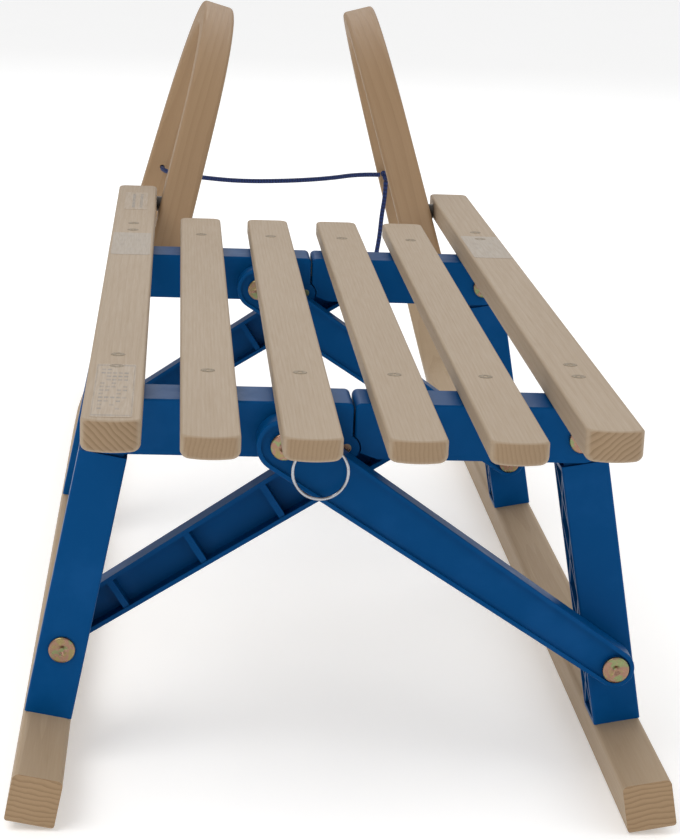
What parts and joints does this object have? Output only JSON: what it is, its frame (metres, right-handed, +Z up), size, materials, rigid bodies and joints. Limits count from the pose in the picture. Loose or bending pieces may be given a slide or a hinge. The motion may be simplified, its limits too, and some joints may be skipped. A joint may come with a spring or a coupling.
{
  "type": "folding wooden sled",
  "caption": "Folding wooden sled with slatted seat halves hinged along the middle, plastic legs and braces, horned runners and a pull cord.",
  "frame": {"origin": "on the floor under the middle of the box that the sled fills without its cord", "axes": "+Z up, +Y forward towards the horns, +X right seen from behind"},
  "size_m": [0.4296, 1.2896, 0.4399],
  "materials": {
    "seat_wood": "satin",
    "runner_wood": "satin",
    "blue_plastic": "satin",
    "zinc_steel": "satin",
    "bright_steel": "polished",
    "runner_steel": "satin",
    "peg_plastic": "satin",
    "cord": "matte"
  },
  "bodies": {
    "left_side": {"runner_left": "runner_wood", "sole_left": "runner_steel", "peg_left": "peg_plastic", "leg_rear_left": "blue_plastic", "leg_front_left": "blue_plastic", "bolts_rear_left": "zinc_steel", "bolts_front_left": "zinc_steel", "knot_left": "cord", "cord_span": "cord"},
    "left_seat": {"crossbar_rear_left": "blue_plastic", "crossbar_front_left": "blue_plastic", "slat_1": "seat_wood", "slat_2": "seat_wood", "slat_3": "seat_wood"},
    "right_seat": {"crossbar_rear_right": "blue_plastic", "crossbar_front_right": "blue_plastic", "centre_pin_rear": "zinc_steel", "centre_pin_front": "zinc_steel", "slat_4": "seat_wood", "slat_5": "seat_wood", "slat_6": "seat_wood"},
    "right_side": {"runner_right": "runner_wood", "sole_right": "runner_steel", "peg_right": "peg_plastic", "leg_rear_right": "blue_plastic", "leg_front_right": "blue_plastic", "bolts_rear_right": "zinc_steel", "bolts_front_right": "zinc_steel", "knot_right": "cord", "cord_tail": "cord", "cord_coil": "cord", "knot_end": "cord"},
    "braces_right": {"brace_rear_right": "blue_plastic", "brace_front_right": "blue_plastic", "head_bolts_right": "zinc_steel", "lock_pin": "zinc_steel", "lock_ring": "bright_steel"},
    "braces_left": {"brace_rear_left": "blue_plastic", "brace_front_left": "blue_plastic", "head_bolts_left": "zinc_steel"}
  },
  "joints": [
    {"name": "centre_fold", "type": "hinge", "parent": "left_seat", "child": "right_seat", "pos_m": [0, -0.4735, 0.2275], "axis": [0, 1, 0], "range_deg": [0, 136], "deforming": ["cord_span"]},
    {"name": "left_hinge", "type": "hinge", "parent": "left_side", "child": "left_seat", "pos_m": [-0.1559, -0.4735, 0.2365], "axis": [0, -1, 0], "range_deg": [0, 54.67]},
    {"name": "right_hinge", "type": "hinge", "parent": "right_seat", "child": "right_side", "pos_m": [0.1559, -0.4735, 0.2365], "axis": [0, -1, 0], "range_deg": [0, 54.67]},
    {"name": "brace_right", "type": "hinge", "parent": "right_side", "child": "braces_right", "pos_m": [0.1846, -0.4735, 0.0841], "axis": [0, 1, 0], "range_deg": [0, 25.79]},
    {"name": "brace_left", "type": "hinge", "parent": "left_side", "child": "braces_left", "pos_m": [-0.1846, -0.4735, 0.0841], "axis": [0, -1, 0], "range_deg": [0, 25.79]}
  ],
  "couplings": [
    {"joint": "left_hinge", "follows": "centre_fold", "ratio": 0.402},
    {"joint": "right_hinge", "follows": "centre_fold", "ratio": 0.402},
    {"joint": "brace_right", "follows": "centre_fold", "ratio": 0.18965},
    {"joint": "brace_left", "follows": "centre_fold", "ratio": 0.18965}
  ]
}
